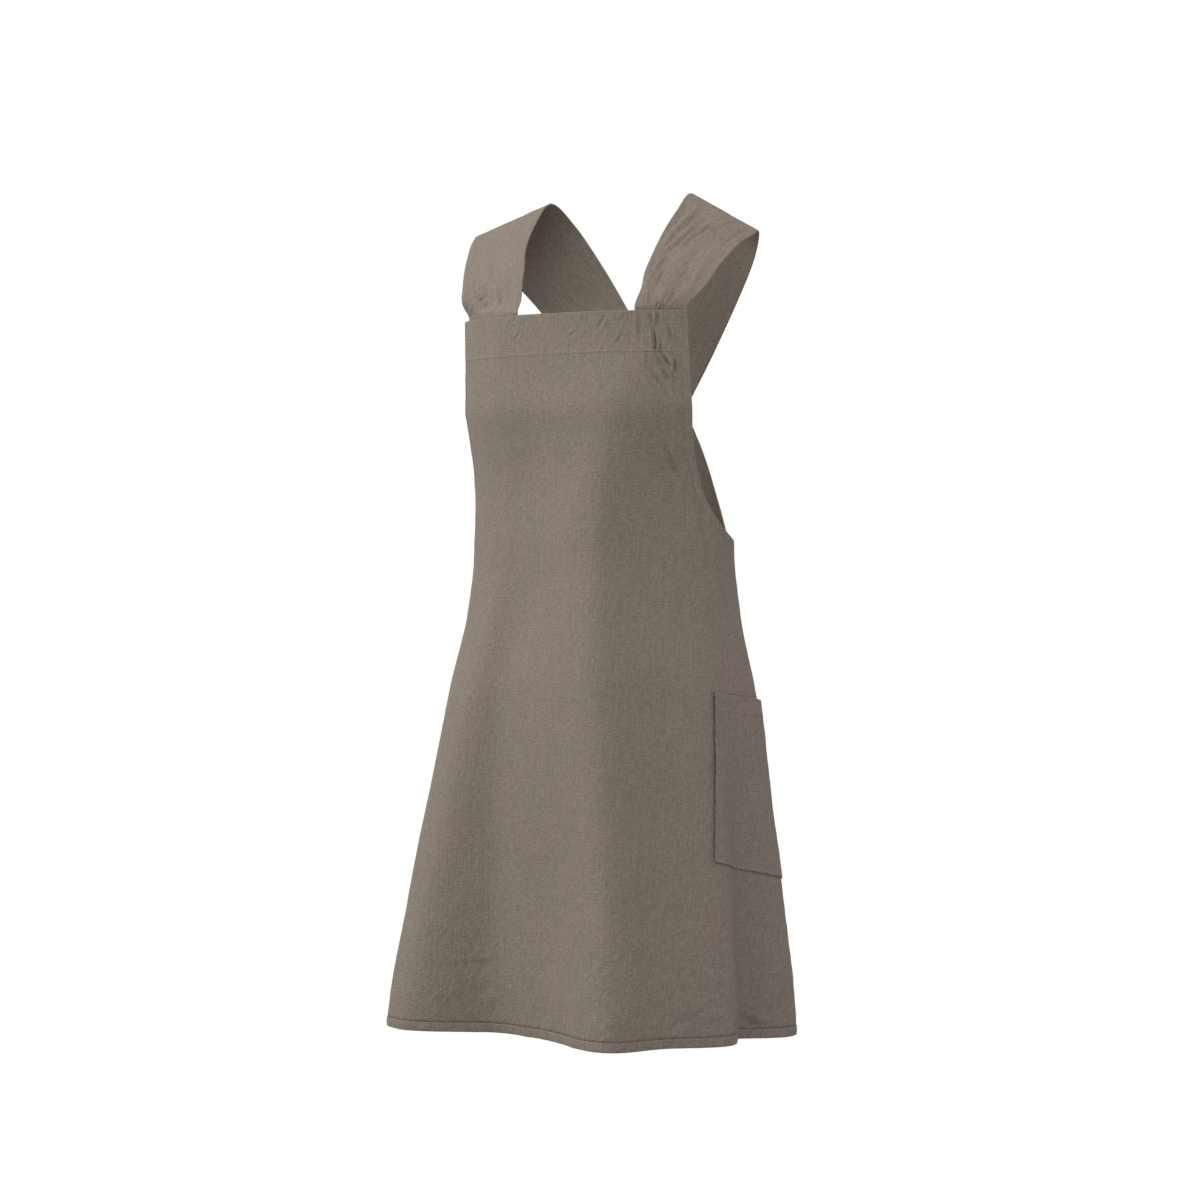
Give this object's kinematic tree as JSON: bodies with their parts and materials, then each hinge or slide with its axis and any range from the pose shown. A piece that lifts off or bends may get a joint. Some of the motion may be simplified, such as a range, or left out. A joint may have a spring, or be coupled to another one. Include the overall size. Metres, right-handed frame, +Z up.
{
  "type": "cross back apron",
  "caption": "Sleeveless linen wrap apron with an A-line body, folded bib band, wide straps that cross at the back, and a patch pocket at one side.",
  "frame": {"origin": "On the upright axis through the middle of the body, level with the underside of the straps where they cross the shoulders", "axes": "+Z up, -Y towards the front of the wearer, +X towards the wearer's left"},
  "size_m": [0.4821, 0.3545, 0.9805],
  "materials": {
    "linen_body": "washed plain-weave linen, matt",
    "linen_band": "washed linen, folded double and top-stitched",
    "linen_strap": "washed linen, creased along its length",
    "linen_pocket": "washed plain-weave linen, matt",
    "linen_edge": "washed linen, folded and top-stitched"
  },
  "bodies": {
    "root": {"body_panel": "linen_body", "bib_band": "linen_band", "strap_left": "linen_strap", "strap_right": "linen_strap", "side_pocket": "linen_pocket", "pocket_hem": "linen_pocket", "armhole_hem_left": "linen_edge", "armhole_hem_right": "linen_edge", "back_hem_left": "linen_edge", "back_hem_right": "linen_edge", "bottom_hem": "linen_edge"}
  },
  "joints": []
}
